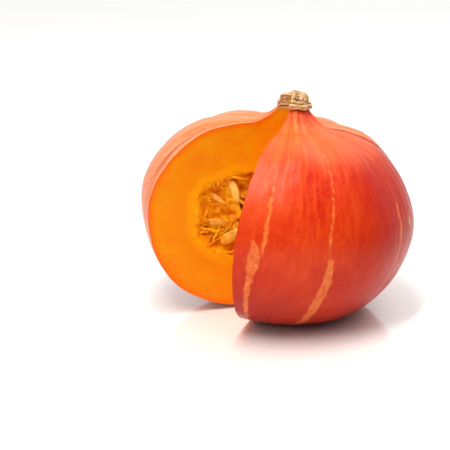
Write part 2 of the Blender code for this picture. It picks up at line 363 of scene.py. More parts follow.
# Rind of a ripe hokkaido pumpkin: a waxy skin under 1 mm thick. It is satin, with a soft broad
# highlight, fine mottling, pale stripes on the veins and paler ribs at the neck.
rindLook = {
    "red": "#C8220A",
    "orange": "#D83C12",
    "right": "#B01604",
    # painted light: the top round the stalk is a lighter orange
    "shoulder": "#F06A26",
    "neckPale": "#F69A58",
    "neckRed": "#D2320E",
    "far": "#E67C3E",
    # painted shade: darker red towards the blossom end
    "low": "#9C1003",
    "stripe": "#F2823E",
    "vein": "#F8B888",
    "veinDark": "#9C340C",
    "streak": "#F05C20",
    "mottle": "#F26428",
    "spot": "#C41E06",
    # the skin's orange beside the notch, which also paints a tint into the highlight there
    "besideNotch": "#E6561C",
    # painted shade in the furrow lines, painted light beside them and a painted reflection past the first one
    "furrow": "#A42C10",
    "besideFurrow": "#F4924E",
    "behindFurrow": "#EE8A60",
    "scar": "#E3C07A",
    "roughness": 0.29, "ior": 1.46, "specular": 0.16, "bump": 0.55,
    "subsurface": (0.05, (1.0, 0.25, 0.08), 1.5 * mm),      # weight, radius of each colour, scale
    # each stripe from blossom end to stalk: height in mm, heading in degrees, half width in mm
    "stripes": [
        [(12, -102.0, 0.6), (28, -101.8, 1.7), (43, -101.0, 1.8), (52, -100.2, 2.8), (61, -99.8, 4.3),
         (69, -99.5, 3.3), (76, -100.6, 0.0)],
        [(64, -96.0, 0.0), (71, -96.4, 1.2), (75, -96.3, 1.5), (84, -96.3, 1.1), (97, -96.3, 0.8),
         (112, -96.3, 0.5), (119, -96.3, 0.0)],
        [(8, -71.0, 1.0), (20, -70.0, 2.7), (30, -69.0, 3.2), (45, -68.2, 3.4), (55, -67.7, 3.1), (67, -68.6, 2.5),
         (72, -69.2, 0.3), (79, -69.5, 0.4), (81, -69.5, 1.5), (85, -69.4, 1.2), (88, -69.0, 0.6), (105, -67.2, 0.6),
         (122, -66.0, 0.4)],
        [(10, -33.0, 0.4), (40, -32.0, 0.9), (62, -31.0, 0.5), (76, -29.5, 1.6), (92, -28.5, 1.3), (100, -28.0, 0.3)],
        [(14, 3.0, 2.0), (50, 4.0, 2.6), (74, 5.0, 1.0), (84, 6.0, 0.0)],
        [(127, -84.0, 0.0), (131, -84.0, 0.7), (135, -84.0, 1.3), (139, -84.0, 1.5)],
        [(11, 44.0, 2.6), (42, 43.0, 3.0), (72, 42.0, 1.2), (126, 42.0, 0.8)],
        [(17, 76.0, 1.5), (56, 78.0, 3.2), (86, 79.0, 1.6), (128, 78.0, 0.9)],
        [(11, 113.0, 2.4), (47, 114.0, 2.0), (81, 115.0, 2.8), (123, 114.0, 0.9)],
        [(17, 149.0, 2.8), (61, 150.0, 1.2), (98, 151.0, 1.8), (128, 150.0, 1.0)],
        [(14, 184.0, 1.6), (56, 186.0, 3.0), (84, 187.0, 2.2), (128, 186.0, 1.2)],
    ],
}


def rindStripe(node, points, up, heading, radius, ragged):
    # how far inside a stripe a point is: its centre's heading and its width change with height
    middle = sum(p[1] for p in points) / len(points)
    heights = [p[0] * mm / fruit["neckHeight"] for p in points]
    bend = node("ValToRGB", {0: up}, stops=[(h, 0.5 + (p[1] - middle) / 40) for h, p in zip(heights, points)])
    width = node("ValToRGB", {0: up}, stops=[(h, p[2] / 10) for h, p in zip(heights, points)])
    centre = node("Math", {0: bend, 1: radians(40), 2: radians(middle - 20)}, operation="MULTIPLY_ADD")
    turn = node("Math", {0: heading, 1: centre}, operation="SUBTRACT")
    wrapped = node("Math", {0: turn, 1: math.pi, 2: -math.pi}, operation="WRAP")
    away = node("Math", {0: wrapped}, operation="ABSOLUTE")
    distance = node("Math", {0: away, 1: radius, 2: ragged}, operation="MULTIPLY_ADD")
    inside = node("Math", {0: width, 1: 10 * mm}, operation="MULTIPLY")
    edge = node("Math", {0: inside, 1: distance}, operation="SUBTRACT")
    return strength(node, (edge, -0.7 * mm, 0.9 * mm, 0.0, 1.0), (width, 0.01, 0.06, 0.0, 1.0, "LINEAR"))


def rindMaterial():
    material, node = newMaterial("hokkaido_rind_waxy_skin")
    look = rindLook
    place = fruitCoordinates(node)
    x, y, z = node("SeparateXYZ", {0: place}).outputs
    flat = node("CombineXYZ", {0: x, 1: y})
    radius = node("VectorMath", {0: flat}, operation="LENGTH").outputs["Value"]
    heading = node("Math", {0: y, 1: x}, operation="ARCTAN2")
    up = node("Math", {0: z, 1: 1 / fruit["neckHeight"]}, operation="MULTIPLY")
    # directions on a unit circle with a slow change downwards, so that patterns run from stalk to blossom end
    outwards = node("VectorMath", {0: flat}, operation="NORMALIZE")
    along = node("VectorMath", {0: place, 1: (0, 0, 3.0), 2: outwards}, operation="MULTIPLY_ADD")
    longer = node("VectorMath", {0: place, 1: (0, 0, 0.4), 2: outwards}, operation="MULTIPLY_ADD")
    streaks = node("TexNoise", {"Vector": along, "Scale": 22.0, "Detail": 4.0, "Roughness": 0.55})
    veins = node("TexNoise", {"Vector": longer, "Scale": 36.0, "Detail": 5.0, "Roughness": 0.68})
    broad = node("TexNoise", {"Vector": place, "Scale": 26.0, "Detail": 3.0, "Roughness": 0.55})
    fine = node("TexNoise", {"Vector": place, "Scale": 300.0, "Detail": 4.0, "Roughness": 0.7})
    base = node("ValToRGB", {0: broad}, stops=[(0.36, look["red"]), (0.64, look["orange"])])

    # the left-hand and far sides are paler, with paler and closer veins. That is strongest
    # beside the left-hand cut, and calm low down at the back
    far = node("Math", {0: y, 1: x}, operation="SUBTRACT")
    farSide = strength(node, (far, 0.0, 0.09, 0.0, 1.0), (up, 0.55, 0.85, 0.20, 1.0))
    leftEdge = strength(node, (node("SeparateXYZ", {0: outwards}), -0.80, -0.95, 0.0, 1.0))
    pale = node("Math", {0: farSide, 1: leftEdge}, operation="MAXIMUM")
    rightEdge = strength(node, (heading, radians(-34), radians(2), 0.0, 0.6),
                         (heading, radians(12), radians(34), 1.0, 0.3, "LINEAR"))
    veined = node("Math", {0: pale, 1: rightEdge}, operation="MAXIMUM")
    # waves round the fruit that crest on each furrow, behind it and farther behind it
    lobes, crests = float(fruit["lobes"]), []
    for behind in (0, 40, 78):
        shift = -lobes * fruit["furrowHeading"] - radians(behind)
        turned = node("Math", {0: heading, 1: lobes, 2: shift}, operation="MULTIPLY_ADD")
        crests.append(node("Math", {0: turned}, operation="COSINE"))
    onShoulder = strength(node, (up, 0.58, 0.78, 0.0, 0.95))
    onRight = strength(node, (heading, radians(-14), 0.0, 0.0, 1.0, "LINEAR"))
    wander = node("Math", {0: streaks, 1: 0.20, 2: up}, operation="MULTIPLY_ADD")

    coloured = layered(node, look, base, [
        ("streak", (streaks, 0.46, 0.70, 0.0, 0.45, "LINEAR"), (up, 0.20, 0.65, 0.25, 1.0, "LINEAR")),
        ("mottle", (fine, 0.48, 0.70, 0.0, 0.22, "LINEAR")),
        ("spot", (fine, 0.42, 0.28, 0.0, 0.45, "LINEAR")),
        # more orange beside the notch, partly the skin's tone and partly a painted highlight tint where the softbox
        # highlight falls; painted light, a lighter orange, on the top round the stalk; redder on the right; painted
        # shade, a darker red, towards the blossom end
        ("besideNotch", (heading, radians(-78), radians(-104), 0.0, 0.55), (up, 0.40, 0.72, 0.0, 1.0)),
        ("right", (heading, radians(-75), radians(-34), 0.0, 0.80)),
        ("low", (up, 0.50, 0.03, 0.0, 0.85), (heading, radians(-92), radians(-50), 1.0, 0.35, "LINEAR")),
        ("shoulder", (wander, 0.92, 1.10, 0.0, 0.80)),
        ("far", (pale, 0.0, 1.0, 0.0, 0.7, "LINEAR")),
        ("vein", (veins, 0.51, 0.62, 0.0, 0.70, "LINEAR"), veined),
        ("veinDark", (veins, 0.485, 0.41, 0.0, 0.70, "LINEAR"), veined),
        # the neck is redder again just under the stalk, with a paler rib for each furrow
        ("neckRed", (up, 0.945, 0.995, 0.0, 0.75)),
        ("neckPale", (crests[0], 0.3, 1.0, 0.0, 0.20, "LINEAR"), (up, 0.90, 0.99, 0.0, 1.0)),
        # painted shade: a dark red line behind each furrow of the right shoulder, where the lobe in front hides the
        # furrow; painted light: paler skin beside it; and a painted reflection of the pale surround: salmon skin on
        # the shoulder past the first furrow
        ("behindFurrow", (heading, radians(7), radians(14), 0.0, 0.5, "LINEAR"), onShoulder),
        ("besideFurrow", (crests[2], 0.955, 0.995, 0.0, 0.7), onShoulder, onRight),
        ("furrow", (crests[1], 0.95, 0.995, 0.0, 0.9), onShoulder, onRight,
         (heading, radians(18), radians(34), 1.0, 0.35, "LINEAR")),
    ])

    # stripes have ragged ends, drawn out from stalk to blossom end
    drawn = node("Mapping", {0: place, 3: (1.0, 1.0, 0.35)}, vector_type="POINT")
    ragged = node("TexNoise", {"Vector": drawn, "Scale": 380.0, "Detail": 4.0, "Roughness": 0.7})
    raggedSize = node("MapRange", {0: ragged, 1: 0.3, 2: 0.7, 3: -1.3 * mm, 4: 1.3 * mm})
    masks = [rindStripe(node, points, up, heading, radius, raggedSize) for points in look["stripes"]]
    inStripe = reduce(lambda one, other: node("Math", {0: one, 1: other}, operation="MAXIMUM"), masks)
    striped = strength(node, inStripe, (fine, 0.35, 0.62, 0.35, 0.92, "LINEAR"))
    # a corky scar on the right-hand side
    scarPlace = node("VectorMath", {0: place, 1: (-87 * mm, 30 * mm, -86 * mm)}, operation="ADD")
    scarShape = node("VectorMath", {0: scarPlace, 1: (1.0, 1.0, 0.5)}, operation="MULTIPLY")
    scarSize = node("VectorMath", {0: scarShape}, operation="LENGTH").outputs["Value"]
    scarEdge = node("Math", {0: ragged, 1: 3.0 * mm, 2: scarSize}, operation="MULTIPLY_ADD")
    scarred = strength(node, (scarEdge, 5.0 * mm, 3.6 * mm, 0.0, 0.9, "LINEAR"))
    coloured = layered(node, look, coloured, [("stripe", striped), ("scar", scarred)])

    satin = look["roughness"]
    rough = node("MapRange", {0: broad, 1: 0.3, 2: 0.7, 3: satin - 0.05, 4: satin + 0.08})
    roughStripe = node("Math", {0: striped, 1: 0.08, 2: rough}, operation="MULTIPLY_ADD")
    # wax leaves the skin faintly pebbled at about 2 mm, and wrinkled lengthways
    pebble = node("TexNoise", {"Vector": place, "Scale": 420.0, "Detail": 4.0, "Roughness": 0.6})
    height = node("Math", {0: streaks, 1: 2.0, 2: pebble}, operation="MULTIPLY_ADD")
    sunk = node("Math", {0: scarred, 1: -1.2, 2: height}, operation="MULTIPLY_ADD")
    return surfaced(material, node, look, coloured, roughStripe, sunk, 0.35 * mm)


# Raw squash flesh cut by a knife: dense, moist and saturated, with a redder line under the rind,
# faint strings that point at the core, and a paler, wetter zone round the cavity.
fleshLook = {
    "flesh": "#F29C02",
    "fleshDeep": "#F08601",
    "underRind": "#F87204",
    "coreEdge": "#FEAA0A",
    "rindLine": "#F0621C",
    "string": "#FD9A22",
    "cell": "#FFA83A",
    "green": "#D09C22",
    "cork": "#D9B176",
    "roughness": 0.45, "ior": 1.38, "specular": 0.12, "bump": 0.55,
    "subsurface": (0.15, (1.0, 0.42, 0.10), 2.5 * mm),
}


def fleshMaterial(name, grain):
    material, node = newMaterial(name)
    look = fleshLook
    place = fruitCoordinates(node)
    under = node("Attribute", attribute_name="underRind").outputs["Fac"]
    core = node("Attribute", attribute_name="fromCavity").outputs["Fac"]
    broad = node("TexNoise", {"Vector": place, "Scale": 55.0, "Detail": 4.0, "Roughness": 0.6})
    cells = node("TexNoise", {"Vector": place, "Scale": 620.0, "Detail": 3.0, "Roughness": 0.6})
    # strings about 1 mm apart, drawn out between rind and core
    combed = node("Mapping", {0: place, 3: (60.0, 60.0, 420.0)}, vector_type="POINT")
    strings = node("TexNoise", {"Vector": combed, "Scale": 1.0, "Detail": 4.0, "Roughness": 0.6, "Distortion": 0.6})
    base = node("ValToRGB", {0: broad}, stops=[(0.33, look["fleshDeep"]), (0.68, look["flesh"])])
    wander = node("Math", {0: broad, 1: -7.0, 2: core}, operation="MULTIPLY_ADD")
    upwards = node("SeparateXYZ", {0: place}).outputs[2]
    nearStalk = node("Math", {0: broad, 1: 3 * mm, 2: upwards}, operation="MULTIPLY_ADD")
    coloured = layered(node, look, base, [
        ("string", (strings, 0.48, 0.72, 0.0, 0.30, "LINEAR")),
        ("cell", (cells, 0.45, 0.75, 0.0, 0.22, "LINEAR")),
        ("underRind", (under, 6.0, 0.6, 0.0, 0.75)),
        ("rindLine", (under, 0.85, 0.45, 0.0, 1.0, "LINEAR")),
        ("coreEdge", (wander, 5.5, -2.0, 0.0, 0.85)),
        # greener and then corky where the flesh meets the stalk
        ("green", (nearStalk, 139.5 * mm, 143.0 * mm, 0.0, 0.8)),
        ("cork", (nearStalk, 142.2 * mm, 143.8 * mm, 0.0, 0.9)),
    ])
    moist = look["roughness"]
    wet = node("MapRange", {0: cells, 1: 0.3, 2: 0.7, 3: moist - 0.10, 4: moist + 0.10})
    height = node("Math", {0: strings, 1: 2.0, 2: cells}, operation="MULTIPLY_ADD")
    return surfaced(material, node, look, coloured, wet, height, grain)


rindSkin = rindMaterial()
cutFlesh = fleshMaterial("squash_flesh_knife_cut", 0.22 * mm)
cavityFlesh = fleshMaterial("squash_flesh_cavity_wall", 0.5 * mm)
bodyForm = bodyPiece(rindSkin, cutFlesh, cavityFlesh)
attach(bodyForm, "root")
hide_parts("rind_and_flesh")
print("body:", len(bodyForm.data.polygons), "faces")


# Pulp: a wet stringy bed with loose strings that cling to the seeds

pulp = {
    "rowsDown": 140,
    "rowsRound": 150,
    "gap": 0.05 * mm,
    "thickness": 6.5 * mm,
    "lumps": 8.0 * mm,      # how far the thickest lumps stand in
    "setback": 0.05 * mm,
    # beside each cut, a curtain of pulp that is thicker and reaches towards the middle
    "curtain": 18.0 * mm, "curtainWidth": radians(22.0), "curtainReach": 18.0 * mm,
    # its torn end: how far it slopes back, its lumps and its hollow
    "endSink": 4.0 * mm, "endLumps": 2.8 * mm, "endHollow": 3.4 * mm, "endSteps": 54,
    "strings": 190,
    "endStrings": 26,
    "stringRadius": (0.45 * mm, 1.10 * mm),
    "stringSides": 8,
}


def pulpDepth(across, up, heading):
    # ridges along the seed rows, with lumps and fine strings on them, and a thicker bed beside each cut
    c, s = math.cos(heading), math.sin(heading)
    ridge = 0.5 + 0.5 * noiseAt(c * 5.5, s * 5.5, up * 1.3, 1.0, 11.0)
    lump = max(0.0, noiseAt(c * 7, s * 7, up * 5, 1.0, 4.0) + 0.25)
    hair = abs(noiseAt(c * 34, s * 34, up * 4 + ridge, 1.0, 9.0))
    aside = min(heading - headingStart, headingEnd - heading)
    curtain = math.exp(-(aside / pulp["curtainWidth"]) ** 2)
    curtain *= 0.75 + 0.5 * noiseAt(across * 4, up * 4, heading, 1.0, 2.0)
    bed = pulp["thickness"] * (0.5 + 0.5 * ridge) + pulp["lumps"] * (0.55 * ridge * lump + 0.30 * lump)
    return bed + pulp["curtain"] * curtain + 1.1 * mm * (0.5 - hair)


def pulpBed(material):
    angles = np.linspace(math.pi / 2, -math.pi / 2, pulp["rowsDown"])
    outer, inner = [], []
    for a in angles:
        across, up = max(0.0, math.cos(a)), math.sin(a)
        outRow, inRow = [], []
        width = max(4 * mm, fruit["cavityRadius"] * across ** fruit["cavityFullness"])
        sink = pulp["endSink"] * (1 + 0.5 * noiseAt(across * 3, up * 3, 0, 1.0, 6.0))
        trims = [pulp["setback"] / width, min(0.35, sink / max(4 * mm, width - 12 * mm))]
        for share in np.linspace(0, 1, pulp["rowsRound"]):
            first, second = [headingStart + t + (headingEnd - headingStart - 2 * t) * share for t in trims]
            # at the two poles every heading has the same depth, so that the bed closes there
            around = second if across > 1e-6 else math.pi
            depth = min(pulp["gap"] + pulpDepth(across, up, around), 0.92 * fruit["cavityRise"])
            outRow.append(tuple(cavityPoint(across, up, first, pulp["gap"])))
            here = cavityPoint(across, up, second, depth)
            aside = min(second - headingStart, headingEnd - second)
            reach = pulp["curtainReach"] * math.exp(-(aside / pulp["curtainWidth"]) ** 2) * across ** 3
            reach *= 0.8 + 0.6 * noiseAt(up * 3, aside, 0, 1.0, 12.0)
            here.xy *= max(0.3, 1 - reach / max(1 * mm, here.xy.length))
            inRow.append(tuple(here))
        outer.append(outRow)
        inner.append(inRow)
    outer, inner = np.array(outer), np.array(inner)
    deep = np.linspace(0, 1, pulp["endSteps"])
    faces = []
    for column, _, heading, outwards in cuts:
        # the knife tore the ends of the bed: strings and hollows on a slope towards the open middle
        for i in range(1, len(outer) - 1):
            outer[i, column] += outwards * tornEdge(*outer[i, column])
        grid = cutGrid(outer[:, column], inner[:, column], deep)
        relief = np.zeros(grid.shape[:2])
        for i in range(grid.shape[0]):
            for j in range(grid.shape[1]):
                x, y, z = grid[i, j]
                r = math.hypot(x, y)
                lump = noiseAt(r, z, heading, 120, 5.0) + 0.4 * noiseAt(r, z, heading, 280, 3.0)
                string = 1 - 2.4 * abs(noiseAt(r * 0.45 + z * 0.25, z * 1.1, heading + 4 * lump * mm, 420, 2.0))
                relief[i, j] = 0.5 + 0.40 * lump + 0.25 * string
                if 0 < i < grid.shape[0] - 1 and 0 < j < grid.shape[1] - 1:
                    hollow = pulp["endHollow"] * min(1.0, deep[j] / 0.3) * min(1.0, (1 - deep[j]) / 0.15)
                    held = min(1.0, 5 * deep[j]) * min(1.0, 5 * (1 - deep[j]))
                    grid[i, j] += outwards * (pulp["endLumps"] * lump + 0.7 * mm * string - 0.4 * mm - hollow) * held
        faces.append(np.dstack([grid, relief]))
    hair = np.full(inner.shape[:2], 0.45)
    points, quads, _ = weldPoints(*sweptShell(np.dstack([outer, hair]), np.dstack([inner, hair]), *faces))
    tint = {"tint": points[:, 3]}
    return newPiece("pulp_bed", points[:, :3], quads, fruitPlace, [material], attributes=tint, sharp=60)


def tubePoints(path, radii, sides):
    # rings of a string along its path, with its ends closed
    path = [Vector(p) for p in path]
    points, faces = [], []
    side = (path[1] - path[0]).orthogonal().normalized()
    for n, (here, radius) in enumerate(zip(path, radii)):
        ahead = (path[min(n + 1, len(path) - 1)] - path[max(n - 1, 0)]).normalized()
        side = (side - side.dot(ahead) * ahead).normalized()
        other = ahead.cross(side)
        for k in range(sides):
            a = 2 * math.pi * k / sides
            points.append(here + (side * math.cos(a) + other * math.sin(a)) * radius)
    for n in range(len(path) - 1):
        for k in range(sides):
            a, b = n * sides + k, n * sides + (k + 1) % sides
            faces.append((a, b, b + sides, a + sides))
    faces.append(tuple(range(sides))[::-1])
    faces.append(tuple(range((len(path) - 1) * sides, len(path) * sides)))
    return points, faces


def bedSurface(latitude, heading, lift):
    across, up = math.cos(latitude), math.sin(latitude)
    depth = pulp["gap"] + pulpDepth(across, up, heading)
    return cavityPoint(across, up, heading, depth + lift)


def insideNotch(point, spare):
    # whether a point of the fruit's frame is on the open side of either cut, less the spare width
    heading = math.atan2(point[1], point[0]) % (2 * math.pi)
    radius = math.hypot(point[0], point[1])
    room = spare / max(radius, 1 * mm)
    return fruit["cutFrom"] - room < heading < fruit["cutTo"] + room


def pulpStrings(material, seedPlaces):
    rng = random.Random(41)
    points, faces, tints = [], [], []

    def addString(path, thick, tint):
        smooth = curveThrough([tuple(p) for p in path], 4)
        smooth = [p for p in smooth if not insideNotch(p, 0.2 * mm)]
        if len(smooth) < 5:
            return
        n = len(smooth)
        swell = [math.sin(math.pi * (i + 0.6) / (n + 0.2)) ** 0.6 for i in range(n)]
        radii = [thick * (0.35 + 0.65 * wide) * rng.uniform(0.8, 1.2) for wide in swell]
        ring, quads = tubePoints(smooth, radii, pulp["stringSides"])
        start = len(points)
        points.extend(ring)
        faces.extend(tuple(start + v for v in quad) for quad in quads)
        tints.extend([tint] * len(ring))

    for _ in range(pulp["strings"]):
        # strings that lie on the bed and lift off it here and there
        latitude, heading = rng.uniform(-1.2, 1.1), rng.uniform(headingStart + 0.02, headingEnd - 0.02)
        slope = rng.choice((-1, 1)) * rng.uniform(0.05, 0.16)
        turn, lift = rng.uniform(-0.07, 0.07), rng.uniform(0.2, 3.2) * mm
        path = []
        for n in range(rng.randint(4, 8)):
            latitude = max(-1.35, min(1.3, latitude + slope))
            heading += turn + rng.uniform(-0.03, 0.03)
            path.append(bedSurface(latitude, heading, lift * math.sin(0.4 + n) ** 2 + 0.1 * mm))
        addString(path, rng.uniform(*pulp["stringRadius"]), rng.random())
    for n in range(pulp["endStrings"]):
        # strings that the knife left hanging from the wall beside each cut
        heading, side = (headingEnd, -1) if n % 3 else (headingStart, 1)
        latitude, inset, back = rng.uniform(-1.25, 1.25), rng.uniform(0.0, 2.0) * mm, rng.uniform(0.4, 2.0) * mm
        path, slide = [], rng.uniform(-0.10, 0.10)
        for k in range(rng.randint(4, 8)):
            around = heading + side * back / max(10 * mm, fruit["cavityRadius"] * math.cos(latitude) - inset)
            path.append(cavityPoint(math.cos(latitude), math.sin(latitude), around, inset))
            latitude, inset = latitude + slide + rng.uniform(-0.05, 0.05), inset + rng.uniform(1.0, 3.2) * mm
            back += rng.uniform(-0.2, 1.2) * mm
        addString(path, rng.uniform(*pulp["stringRadius"]), rng.uniform(0.5, 1.0))
    for place in seedPlaces:
        # strings that hold each seed by its tip and flanks
        for _ in range(2):
            along = rng.choice((0.46, 0.40, 0.1, -0.2, -0.35))
            across, flank = rng.uniform(-2.4, 2.4) * mm, rng.choice((-1, 1)) * 1.3 * mm
            grip = place @ Vector((across * (1 - abs(along)), flank, along * seed["length"]))
            heading = math.atan2(grip.y, grip.x)
            latitude = math.atan2(grip.z - fruit["cavityMiddle"], math.hypot(grip.x, grip.y))
            latitude = max(-1.3, min(1.25, latitude + rng.uniform(-0.35, 0.35)))
            foot = bedSurface(latitude, heading + rng.uniform(-0.22, 0.22), -0.3 * mm)
            sag = Vector((rng.uniform(-1, 1), rng.uniform(-1, 1), rng.uniform(-1.6, 0.4))) * 2.4 * mm
            path = []
            for t in (0, 0.2, 0.4, 0.6, 0.8, 1.0):
                stray = Vector((rng.uniform(-1, 1), rng.uniform(-1, 1), rng.uniform(-1, 1))) * 0.9 * mm
                path.append(grip + (foot - grip) * t + sag * math.sin(math.pi * t) + stray)
            addString(path, rng.uniform(*pulp["stringRadius"]) * 0.9, rng.random())
    return newPiece("pulp_strings", points, faces, fruitPlace, [material], attributes={"tint": tints})


# Squash pulp pulled apart by a knife: wet translucent strings, yellow where thin and deep orange where thick.
pulpLook = {
    "thin": "#FDB61A", "mid": "#F49604", "deep": "#E27402",
    "roughness": 0.42, "ior": 1.36, "specular": 0.24, "bump": 0.7,
    "subsurface": (0.25, (1.0, 0.8, 0.4), 1.2 * mm),
}


def pulpMaterial(name):
    material, node = newMaterial(name)
    look = pulpLook
    place = fruitCoordinates(node)
    broad = node("TexNoise", {"Vector": place, "Scale": 120.0, "Detail": 4.0, "Roughness": 0.65})
    combed = node("Mapping", {0: place, 3: (900.0, 900.0, 180.0)}, vector_type="POINT")
    strings = node("TexNoise", {"Vector": combed, "Scale": 1.0, "Detail": 3.0, "Distortion": 0.8})
    tint = node("Attribute", attribute_name="tint").outputs["Fac"]
    mixed = node("Math", {0: tint, 1: 0.45, 2: broad}, operation="MULTIPLY_ADD")
    colour = node("ValToRGB", {0: mixed}, stops=[(0.46, look["deep"]), (0.66, look["mid"]), (0.92, look["thin"])])
    return surfaced(material, node, look, colour, look["roughness"], strings, 0.35 * mm)


# Seeds: flat hulls with a raised rim, standing where the CAD seeds stand

seed = {
    "rows": 15, "rowEdge": radians(7.5),
    "turn": radians(62.0), "turnRange": radians(22.0), "tiltRange": 0.30,
    "latitudesEven": (-56.0, -21.0, 13.0, 50.0), "latitudesOdd": (-39.0, -4.0, 31.0),
    "length": 19.0 * mm, "width": 10.8 * mm, "thickness": 3.4 * mm,
    "lining": 4.5 * mm, "stand": 0.9 * mm,
    "alongSteps": 26, "roundSteps": 28,
}


def seedPlaceList():
    wobble = lambda index, phase: math.sin(12.9898 * index + 4.137 * phase + 1.3)
    first, last = headingStart + seed["rowEdge"], headingEnd - seed["rowEdge"]
    places = []
    for row in range(seed["rows"]):
        heading = first + (last - first) * row / (seed["rows"] - 1)
        outwards = Vector((math.cos(heading), math.sin(heading), 0))
        sideways = Vector((-outwards.y, outwards.x, 0))
        for latitude in map(math.radians, seed["latitudesOdd"] if row % 2 else seed["latitudesEven"]):
            index = len(places)
            foot = cavityPoint(math.cos(latitude), math.sin(latitude), heading, seed["lining"])
            inwards = outwards * -math.cos(latitude) - Vector((0, 0, math.sin(latitude)))
            pointing = (inwards + seed["tiltRange"] * wobble(index, 1) * inwards.cross(sideways)).normalized()
            turned = seed["turn"] * math.cos(latitude) + seed["turnRange"] * wobble(index, 2)
            facing = math.cos(turned) * sideways + math.sin(turned) * pointing.cross(sideways)
            middle = foot + inwards * (seed["length"] / 2 + seed["stand"])
            turn = Matrix((facing.cross(pointing), facing, pointing)).transposed()
            places.append(Matrix.Translation(middle) @ turn.to_4x4())
    return places


def seedPiece(name, place, material, rng):
    along, around = seed["alongSteps"], seed["roundSteps"]
    bend, slim, plump = rng.uniform(-0.6, 0.6) * mm, rng.uniform(0.86, 0.98), rng.uniform(0.85, 1.0)
    points, faces = [], []
    for i in range(along + 1):
        t = 0.5 - 0.5 * math.cos(math.pi * i / along)
        # half width: round at the foot, widest at two fifths, drawn to a blunt point
        wide = (math.sin(math.pi * min(1.0, t ** 0.72))) ** 0.62 if 0 < t < 1 else 0.0
        wide = seed["width"] / 2 * slim * wide * (1.0 - 0.28 * t)
        half = seed["thickness"] / 2 * plump * min(1.0, wide / (2.4 * mm)) ** 0.7
        z = (t - 0.5) * seed["length"]
        for k in range(around):
            a = 2 * math.pi * k / around
            across = math.copysign(abs(math.cos(a)) ** 0.8, math.cos(a))
            rim = math.exp(-((abs(across) - 0.86) / 0.075) ** 2)        # raised rim
            groove = math.exp(-((abs(across) - 0.70) / 0.07) ** 2)      # groove inside it
            swell = (1 - abs(across) ** 2.6) * 0.92 + 0.16 + 0.16 * rim - 0.16 * groove
            edge = abs(math.sin(a)) ** 0.35 if abs(math.sin(a)) > 1e-6 else 0.0
            thick = half * max(0.0, swell) * edge
            points.append((wide * across, math.copysign(thick, math.sin(a)) + bend * (t - 0.5) ** 2 * 4, z))
    for i in range(along):
        for k in range(around):
            a, b = i * around + k, i * around + (k + 1) % around
            faces.append((a, b, b + around, a + around))
    points = np.array(points)
    points[:around] = (0, bend, -seed["length"] / 2)
    points[along * around:] = (0, bend, seed["length"] / 2)
    points, quads, _ = weldPoints(points, np.array(faces), np.zeros(len(faces)), 2e-6)
    wet = rng.uniform(0.0, 1.0)
    film = [wet * 0.7 + 0.8 * noiseAt(*p, 260, wet * 9) - 0.9 * p[2] / seed["length"] for p in points]
    film = {"film": np.clip(film, 0.0, 1.0)}
    return newPiece(name, points, quads, fruitPlace @ place, [material], attributes=film, baked=False)


# Squash seed hull: a dry woody skin, cream and faintly silky, with a film of orange pulp that dries on it
# in patches.
seedLook = {
    "hull": "#FFDC70", "hullWarm": "#FBC648", "rim": "#FFE58C", "film": "#F2A220",
    "roughness": 0.38, "ior": 1.5, "specular": 0.35, "bump": 0.3,
    "subsurface": (0.12, (1.0, 0.95, 0.6), 1.2 * mm),
}


def seedMaterial():
    material, node = newMaterial("squash_seed_hull")
    look = seedLook
    place = node("TexCoord").outputs["Object"]
    grain = node("Mapping", {0: place, 3: (1400.0, 1400.0, 160.0)}, vector_type="POINT")
    silk = node("TexNoise", {"Vector": grain, "Scale": 1.0, "Detail": 3.0})
    broad = node("TexNoise", {"Vector": place, "Scale": 240.0, "Detail": 3.0})
    base = node("ValToRGB", {0: broad}, stops=[(0.35, look["hullWarm"]), (0.65, look["hull"])])
    film = node("Attribute", attribute_name="film").outputs["Fac"]
    coloured = layered(node, look, base, [("rim", (silk, 0.45, 0.7, 0.0, 0.35, "LINEAR")), ("film", film)])
    rough = node("MapRange", {0: film, 1: 0.0, 2: 1.0, 3: look["roughness"], 4: 0.25})
    return surfaced(material, node, look, coloured, rough, silk, 0.08 * mm)


seedPlaces = seedPlaceList()
pulpFlesh = pulpMaterial("squash_pulp_torn")
bed = pulpBed(pulpFlesh)
strings = pulpStrings(pulpFlesh, seedPlaces)
for piece in (bed, strings):
    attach(piece, "root")
    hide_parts("stringy_pulp")
print("pulp:", len(bed.data.polygons), "and", len(strings.data.polygons), "faces")

hull = seedMaterial()
rng = random.Random(7)
for number, place in enumerate(seedPlaces, start=1):
    piece = seedPiece(f"seed_form_{number:02d}", place, hull, rng)
    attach(piece, "root")
    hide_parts(f"seed_{number:02d}")
print("seeds:", len(seedPlaces))


# Stalk: a dry corky stump, split by the same knife cuts

stalk = {
    "radius": 11.8 * mm, "height": 10.6 * mm, "gap": 0.29 * mm,
    "outline": [(0.26, 0.97), (0.50, 0.93), (0.68, 0.84), (0.78, 0.68), (0.83, 0.45), (0.97, 0.31),
                (1.03, 0.14), (0.96, 0.00)],
    "outlineLeft": [(0.06, 0.95), (0.15, 0.80), (0.27, 0.70), (0.55, 0.69), (0.80, 0.66), (0.89, 0.52),
                    (0.86, 0.38), (0.98, 0.27), (1.03, 0.13), (0.96, 0.00)],
    "rowsDown": 90, "rowsRound": 190, "rowsDeep": 34, "ridges": 7,
    "nub": 0.8 * mm,
    "folds": [(0.17, 0.7), (0.36, 1.0)],      # grooves round the foot: share of the height, depth
}


